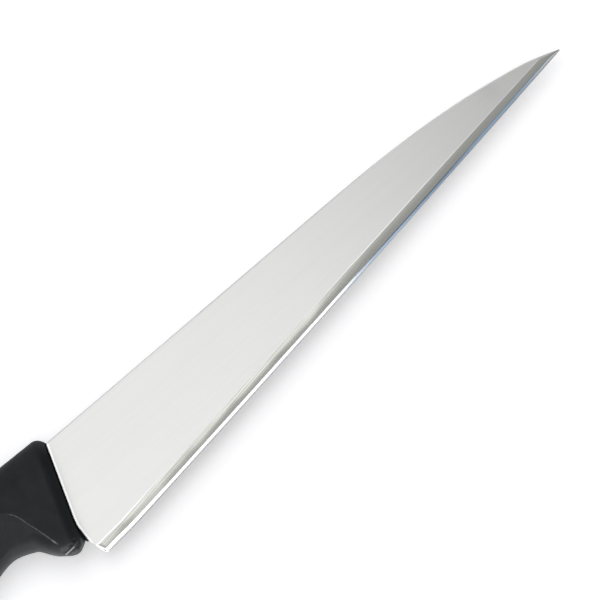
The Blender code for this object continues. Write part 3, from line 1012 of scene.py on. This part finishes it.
@dataclass
class Grip(Piece):
    """The grained black skin with its finger guard, groove and scoops.

    The scoop's rim is its distance from the scoop's centre, by the angle from the blade's direction. The
    scoop's other sizes without a unit are shares of that distance.
    """

    butt_round: float = 0.0050
    start: float = 0.00066
    scoop_rim: Line = (
        (0.0, 0.0292), (15.0, 0.0287), (28.0, 0.0294), (41.0, 0.0311),
        (55.0, 0.0300), (90.0, 0.0245), (180.0, 0.0280),
    )
    scoop_depth: float = 0.0022
    scoop_centre: tuple[float, float] = (-0.0460, -0.0300)
    scoop_lip: float = 0.011
    scoop_over: float = 1.15
    scoop_hub: float = 0.015
    hollows: tuple[Hollow, ...] = (
        Hollow((-0.0174, -0.0150), -0.02935, 0.00030, 0.00018),
        Hollow((-0.0172, -0.0132), -0.03060, 0.00040, 0.00022),
        Hollow((-0.0154, -0.0154), -0.0288, 0.0006, 0.0003),
        Hollow((-0.0146, -0.0146), -0.0290, 0.0006, 0.0003),
        Hollow((-0.0128, -0.0128), -0.0285, 0.0006, 0.0003),
    )
    # Painted highlights: the glints on the guard's ridges and nose and at the crease's end.
    painted_highlights: tuple[PaintedHighlight, ...] = (
        PaintedHighlight(((-0.01766, -0.03028), (-0.01577, -0.03022), (-0.01430, -0.03010)), 0.00022, 0.8),
        PaintedHighlight(((-0.01400, -0.03003), (-0.01312, -0.02976), (-0.01236, -0.02959)), 0.00018, 0.14),
        PaintedHighlight(((-0.0189, -0.0205), (-0.01840, -0.0225), (-0.0179, -0.0246)), 0.00022, 0.13),
        PaintedHighlight(((-0.0180, -0.0243), (-0.0177, -0.0254)), 0.00026, 0.30),
        PaintedHighlight(((-0.0177, -0.0254), (-0.01745, -0.0261)), 0.00022, 0.12),
        PaintedHighlight(((-0.0176, -0.0284), (-0.0160, -0.0289)), 0.00065, 0.07),
        PaintedHighlight(((-0.0157, -0.0312), (-0.0142, -0.0315)), 0.00040, 0.08),
        PaintedHighlight(((-0.0110, -0.0297), (-0.0115, -0.0309), (-0.0128, -0.0319)), 0.00034, 0.12),
    )
    # Painted highlight on the scoop's lip: only its front stretch, near the guard, fainter low down.
    lip_highlight_above: Ramp = Ramp(-0.027, -0.023, 0.3, 1.0)
    lip_highlight_ahead: Ramp = Ramp(-0.0236, -0.0222, 0.0, 1.0)
    core_front: float = 0.0240
    core_wall: float = 0.0080
    core_edge: float = 0.0032
    core_half: float = 0.0050
    core_round: float = 0.0040
    steps: tuple[int, int, int] = (18, 18, 56)

    def section(self, back: float) -> list[Vector]:
        """Draw the skin's section, with the hollows moulded in it.

        Args:
            back: Distance behind the front.

        Returns:
            The corners, down the right side and up the left.
        """
        lines = self.lines
        butt = corner_loss(lines.length - back, self.butt_round)
        loss = lines.front_loss(back)
        ring = lines.ring(
            back,
            along(lines.top_line, back) - loss - butt,
            along(lines.bottom_line, back) + butt,
            lines.thickness / 2 - loss - butt,
            lines.side_round,
            self.steps,
        )
        for point in ring:
            depth = max(hollow.at(point.x, point.y) for hollow in self.hollows)
            point.z -= math.copysign(depth, point.z)
        return ring

    def core_section(self, back: float) -> list[Vector]:
        """Draw the section of the core's pocket.

        Args:
            back: Distance behind the front.

        Returns:
            The corners.
        """
        lines = self.lines
        wall = self.core_edge - lines.gap
        top, bottom = along(lines.top_line, back) - wall, along(lines.bottom_line, back) + wall
        return lines.ring(back, top, bottom, self.core_half + lines.gap, self.core_round, (6, 4, 6))

    def stations(self) -> list[float]:
        """Return the sections' distances behind the front, close together where the skin turns fast."""
        butt = self.lines.length - self.butt_round
        stations = chain(self.start, (0.0100, 44), (0.0300, 34), (butt, 63))
        return stations + [butt + self.butt_round * math.sin(a) for a in quarter(10)[1:]]

    def rim(self, angle: float) -> float:
        """Return how far the scoop's rim is from its middle, at an angle from the blade's direction."""
        turned = math.degrees(angle) % 360.0
        return along(self.scoop_rim, min(turned, 360.0 - turned))

    def scoop(self, side: Side) -> Object:
        """Model the tool that cuts the dish out of a flat side.

        Args:
            side: The handle's side.

        Returns:
            The tool, whose eased lip has the second material.
        """
        half, lip = self.lines.thickness / 2, self.scoop_lip
        slant = 2 * self.scoop_depth
        profile = [(self.scoop_over, half + CUT_PAST)]
        for share in spread(self.scoop_over, 1 + lip, 4)[:-1]:
            profile.append((share, half + slant * (share - 1)))
        for share in spread(1 + lip, 1 - lip, 4):
            away = (share - 1) / lip
            lifted = lip * (away - (1 - away**2) / 2)
            profile.append((share, half + slant * (lifted + share - 1) / 2))
        for share in spread(1 - lip, self.scoop_hub, 24)[1:]:
            profile.append((share, half - self.scoop_depth * (1 - share**2)))
        profile = [(share, side * height) for share, height in profile]
        tool = self.datum.drum("scoop", self.scoop_centre, profile, 192, self.rim)
        middle = self.datum.zero + Vector((*self.scoop_centre, 0.0))
        for face in tool.data.polygons:
            away = face.center - middle
            share = math.hypot(away.x, away.y) / self.rim(math.atan2(away.y, away.x))
            face.material_index = int(share > 1 - lip)
        return tool

    def finishes(self) -> tuple[bpy.types.Material, ...]:
        """Build the skin's plastics.

        Returns:
            The materials of the flat sides, the dishes, which are painted paler, the dishes' lips, with a
            painted highlight, and the inside.
        """

        def speckled(sheet: Sheet, mask: Socket, size: float, least: float) -> Socket:
            """Return a mask with paler specks, which keep at least a share of it."""
            specks = sheet.follow(sheet.noise(size), Ramp(0.35, 0.6, least, 1.0))
            return sheet.calc("MULTIPLY", mask, specks)

        def painted_highlight_mask(sheet: Sheet) -> Socket:
            """Mask the painted highlights, pale lines on the guard and at the crease's end."""
            mask, place = 0.0, self.datum.place(sheet)
            for mark in self.painted_highlights:
                for start, stop in zip(mark.points, mark.points[1:]):
                    stroke = sheet.stroke(place, start, stop, mark.half)
                    mask = sheet.calc("MAXIMUM", mask, sheet.calc("MULTIPLY", stroke, mark.strength))
            return speckled(sheet, mask, 1 / 1400, 0.8)

        def lip_highlight_mask(sheet: Sheet) -> Socket:
            """Mask the painted highlight on the rim's front stretch, which is palest near the guard."""
            x, y, _ = self.datum.axes(sheet)
            ends = sheet.calc("MINIMUM", sheet.follow(y, self.lip_highlight_above), sheet.follow(x, self.lip_highlight_ahead))
            return speckled(sheet, ends, 1 / 900, 0.35)

        return (
            # The sides, with painted highlights on the guard.
            MouldedPlastic("grained_side", 0.006, 0.52, 0.28, highlight_grey=0.60).material(painted_highlight_mask),
            # The dish: the side's plastic painted paler, as it catches more light.
            MouldedPlastic("grained_dish_painted_paler", 0.009, 0.48, 0.31).material(),
            # The lip: the same plastic painted paler still, with a painted highlight.
            MouldedPlastic("lip_painted_highlight", 0.011, 0.47, 0.33, highlight_grey=0.065).material(lip_highlight_mask),
            MouldedPlastic("skin_inside", 0.008, 0.60, 0.25).material(),
        )

    def build(self) -> Object:
        """Model the skin and cut its pocket, its slots and its scoops.

        Returns:
            The finished skin.
        """
        lines = self.lines
        side, dish, lip, inside = self.finishes()
        skin = self.datum.extrude("moulded_skin", map(self.section, self.stations()))
        dress(skin, side)
        places = spread(self.core_front - lines.gap, lines.length - self.core_wall + lines.gap, 32)
        pocket = self.datum.extrude("core_pocket", map(self.core_section, places))
        high, low = lines.gap, -lines.shoulder_drop - lines.gap
        sideways = lines.gap / math.cos(math.radians(lines.choil_rake))
        rear, low_rear = lines.choil_x(0.0) - sideways, lines.choil_x(low) - sideways
        root = ((CUT_PAST, high), (rear, high), (low_rear, low), (CUT_PAST, low))
        slot = lines.stock + 2 * lines.gap
        combine(skin, pocket, inside)
        combine(skin, self.datum.plate("root_slot", root, slot), inside)
        combine(skin, self.datum.plate("tang_slot", self.tang.outline(lines.gap), slot), inside)
        for flat_side in Side:
            combine(skin, self.scoop(flat_side), dish, lip)
        settle(skin, 25.0)
        return skin


@dataclass
class Collar(Piece):
    """The thin black collar that seals the handle's front and runs out to a pointed lip."""

    thickness: float = 0.00062
    ease: float = 0.00015

    def section(self, back: float) -> list[Vector]:
        """Draw the collar's section.

        Args:
            back: Distance behind the front.

        Returns:
            The corners, down the right side and up the left.
        """
        lines = self.lines
        inner = along(lines.bottom_line, self.thickness + lines.gap) - lines.gap
        loss, drawn_in = lines.front_loss(back), corner_loss(back, self.ease)
        return lines.ring(
            back,
            along(lines.top_line, back) - loss - drawn_in,
            -lines.lip_drop + (inner + lines.lip_drop) * back / self.thickness + drawn_in,
            lines.thickness / 2 - loss - drawn_in,
            lines.side_round,
            (16, 12, 32),
        )

    def build(self) -> Object:
        """Model the collar and cut the blade's slot through it.

        Returns:
            The finished collar.
        """
        lines = self.lines
        places = [self.ease * (1 - math.cos(a)) for a in quarter(4)]
        places += spread(self.ease, self.thickness, 4)[1:]
        collar = self.datum.extrude("collar_ring", map(self.section, places))
        # Darker and duller than the skin, the collar's plastic also paints in the shade at the handle's
        # front.
        plastic = MouldedPlastic("collar_plastic_painted_dark", 0.002, 0.75, 0.08, grain_depth=0.000006).material()
        dress(collar, plastic)
        rear, low = lines.choil_x(0.0), -lines.shoulder_drop - lines.gap
        outline = ((CUT_PAST, CUT_PAST), (rear, CUT_PAST), (rear, low), (CUT_PAST, low))
        combine(collar, self.datum.plate("collar_slot", outline, lines.stock + 2 * lines.gap), plastic)
        settle(collar, 30.0)
        return collar


@dataclass
class Core:
    """The hard core halves and the pins that hold the tang, inside the skin."""

    halves: tuple[str, str] = ("core_right", "core_left")
    pins: tuple[str, str, str] = ("tang_pin_front", "tang_pin_middle", "tang_pin_rear")

    def finish(self, nodes: dict[str, Object]) -> None:
        """Give the carried-over pieces their plastic and their steel.

        Args:
            nodes: The frame's nodes by name.
        """
        pin_lines = (0.0002, 0.00012, 0.00012)
        plastic = MouldedPlastic("core_plastic", 0.10, 0.5, 0.5, grain_depth=0.00001, highlight_grey=0.14).material()
        steel = GroundSteel("pin_steel", 0.60, 0.30, streak=0.08, line_size=pin_lines).material()
        for names, material in ((self.halves, plastic), (self.pins, steel)):
            for name in names:
                nodes[name].data.materials.clear()
                dress(nodes[name], material)


# The studio


@dataclass(frozen=True)
class Lamp:
    """A rectangular lamp that the camera doesn't see."""

    name: str
    x: tuple[float, float]
    y: tuple[float, float]
    z: float
    radiance: float
    tilt: float = 0.0
    colour: tuple[float, float, float] = (1.0, 1.0, 1.0)
    spread: float = 180.0
    role: Role = Role.SHEEN

    def hang(self) -> None:
        """Make the lamp. Its depth is that of its level rectangle, also where it is tilted."""
        width, depth = self.x[1] - self.x[0], self.y[1] - self.y[0]
        data = bpy.data.lights.new(self.name, "AREA")
        data.shape = "RECTANGLE"
        data.size, data.size_y = width, depth
        data.energy = math.pi * width * depth * self.radiance
        data.color = self.colour
        data.spread = math.radians(self.spread)
        lamp = bpy.data.objects.new(self.name, data)
        bpy.context.scene.collection.objects.link(lamp)
        lamp.location = (sum(self.x) / 2, sum(self.y) / 2, self.z)
        lamp.rotation_euler.x = math.radians(self.tilt)
        lamp.visible_camera = False
        lamp.visible_diffuse = self.role is Role.LIGHT
        lamp.visible_glossy = self.role is Role.SHEEN


@dataclass
class Studio:
    """White floor, pale room, lamps and the camera, as for a packshot."""

    picture_width: float = 0.1864
    picture_centre: tuple[float, float] = (0.05306, -0.00074)
    picture_up: tuple[float, float] = (0.6496, 0.7602)
    lens: float = 1500.0
    sensor: float = 36.0
    focus_height: float = 0.009
    floor_size: float = 6.0
    floor_drop: float = 0.0001
    floor_level: float = 0.95
    floor_blue: float = 0.020
    floor_glow: float = 0.345
    floor_unseen_level: float = 0.8
    ceiling_x: Ramp = Ramp(-1.0, 1.0, 0.65, 0.15)
    ceiling_near: Ramp = Ramp(-0.575, -0.525, 0.42, 1.0)
    ceiling_far: Ramp = Ramp(0.15, 0.55, 0.0, 0.42)
    wall_z: Ramp = Ramp(0.10, 0.25, 1.0, 0.0)
    wall_x: Ramp = Ramp(0.2, 0.7, 1.0, 0.25)
    wall_y: Ramp = Ramp(-0.1, 0.3, 1.0, 0.1)

    def camera(self) -> None:
        """Hang the camera straight above the picture's centre."""
        data = bpy.data.cameras.new("camera")
        data.lens, data.sensor_width = self.lens, self.sensor
        camera = bpy.data.objects.new("camera", data)
        bpy.context.scene.collection.objects.link(camera)
        height = self.picture_width * self.lens / self.sensor + self.focus_height
        camera.location = (*self.picture_centre, height)
        camera.rotation_euler.z = math.atan2(-self.picture_up[0], self.picture_up[1])
        bpy.context.scene.camera = camera

    def floor(self) -> None:
        """Lay the floor, which the camera sees white, with the knife's shadow."""
        start_clean()
        bpy.ops.mesh.primitive_plane_add(size=self.floor_size, location=(0.0, 0.0, -self.floor_drop))
        floor = bpy.context.object
        floor.name = "floor"
        sheet = Sheet("floor_paper")
        rays = sheet.add("LightPath").outputs
        seen = sheet.calc("MAXIMUM", rays["Is Camera Ray"], rays["Is Transmission Ray"])
        white = grey(self.floor_level, yellow=-self.floor_blue)
        paper = sheet.add("BsdfDiffuse", {"Color": white}).outputs[0]
        glow = sheet.add("Emission", {"Color": grey(1.0), "Strength": self.floor_glow}).outputs[0]
        shown = sheet.add("AddShader", {0: paper, 1: glow}).outputs[0]
        plain = sheet.add("BsdfDiffuse", {"Color": grey(self.floor_unseen_level)}).outputs[0]
        mixed = sheet.add("MixShader", {0: seen, 1: plain, 2: shown}).outputs[0]
        sheet.put(sheet.tree.nodes["Material Output"], "Surface", mixed)
        sheet.tree.nodes.remove(sheet.shader)
        dress(floor, sheet.material)

    def room(self) -> None:
        """Light the room: its walls are white low down, its ceiling is paler above the butt than the tip."""
        world = bpy.data.worlds.new("room")
        world.use_nodes = True
        bpy.context.scene.world = world
        room = Nodes(world.node_tree)
        x, y, z = room.add("SeparateXYZ", {0: room.add("TexCoord").outputs["Generated"]}).outputs

        def product(*parts: tuple[Socket, Ramp]) -> Socket:
            """Multiply the straight ramps along some axes."""
            result = 1.0
            for axis, ramp in parts:
                result = room.calc("MULTIPLY", result, room.follow(axis, ramp, "LINEAR"))
            return result

        ceiling = product((x, self.ceiling_x), (y, self.ceiling_near))
        ceiling = room.calc("ADD", ceiling, product((y, self.ceiling_far)))
        wall = product((z, self.wall_z), (x, self.wall_x), (y, self.wall_y))
        sky = room.tree.nodes["Background"]
        room.put(sky, "Strength", room.mix(wall, ceiling, 1.0))
        room.put(sky, "Color", grey(1.0))

    def lamps(self) -> None:
        """Hang the lamps: three that light, and those that only show in the steel."""
        pale, blue, dusk = (0.38, 0.64, 0.95), (0.115, 0.31, 0.54), (0.17, 0.32, 0.49)
        slate, ice = (0.52, 0.56, 0.56), (0.85, 0.93, 1.0)
        lamps = (
            Lamp("key", (-0.35, 0.05), (-0.24, 0.57), 1.0, 2.05, -14.0, role=Role.LIGHT),
            Lamp("front_key", (0.05, 0.45), (0.14, 0.95), 1.0, 2.15, -24.0, role=Role.LIGHT),
            Lamp("floor_fill", (-0.13, -0.08), (-0.19, -0.15), 0.12, 0.9, 50.0, spread=35.0, role=Role.LIGHT),
            Lamp("face_softbox", (-0.40, 0.118), (-0.19, 0.12), 0.5, 0.97),
            Lamp("far_softbox", (0.118, 0.50), (-0.19, 0.12), 0.5, 0.11),
            Lamp("heel_softbox", (-0.40, 0.015), (-0.280, -0.19), 0.5, 0.74),
            Lamp("bevel_softbox", (0.015, 0.094), (-0.262, -0.19), 0.5, 0.74),
            Lamp("tip_softbox", (0.094, 0.50), (-0.235, -0.19), 0.5, 0.17),
            Lamp("edge_strip", (-0.35, 0.107), (-0.359, -0.239), 0.311, 1.7, 40.0),
            Lamp("pale_strip", (0.107, 0.137), (-0.372, -0.262), 0.311, 1.0, 40.0, pale),
            Lamp("blue_strip", (0.137, 0.160), (-0.372, -0.262), 0.311, 1.0, 40.0, blue),
            Lamp("tip_strip", (0.160, 0.200), (-0.372, -0.235), 0.311, 1.0, 40.0, dusk),
            Lamp("point_strip", (0.200, 0.30), (-0.372, -0.235), 0.311, 1.0, 40.0, slate),
            Lamp("keen_strip", (0.10, 0.160), (-0.655, -0.44), 0.311, 0.50, 60.0, ice),
            Lamp("low_strip", (-1.30, 0.20), (-0.925, -0.675), 0.13, 4.5, 90.0),
            Lamp("card", (-0.25, -0.043), (-0.045, -0.012), 0.0005, 1.15, 180.0),
        )
        for lamp in lamps:
            lamp.hang()

    def build(self) -> None:
        """Set up the floor, the light and the camera."""
        self.floor()
        self.room()
        self.lamps()
        self.camera()


def keep(obj: Object, node: str) -> None:
    """Enter a finished piece in the frame and report it."""
    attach(obj, BODY)
    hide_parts(node)
    log.info("%s: %d faces, stands for %s", obj.name, len(obj.data.polygons), node)


def main() -> None:
    """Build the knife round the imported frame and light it."""
    logging.basicConfig(level=logging.INFO, format="%(name)s: %(message)s")
    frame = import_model()
    bpy.context.scene.view_settings.view_transform = "Standard"

    lines = HandleLines()
    plan = lines, Tang(lines), Datum.from_frame(Blade.reach)
    keep(Blade(*plan).build(), "blade")
    keep(Grip(*plan).build(), "grip_skin")
    keep(Collar(*plan).build(), "front_collar")
    Core().finish(frame["nodes"])
    Studio().build()

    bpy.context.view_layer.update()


if __name__ == "__main__":
    main()
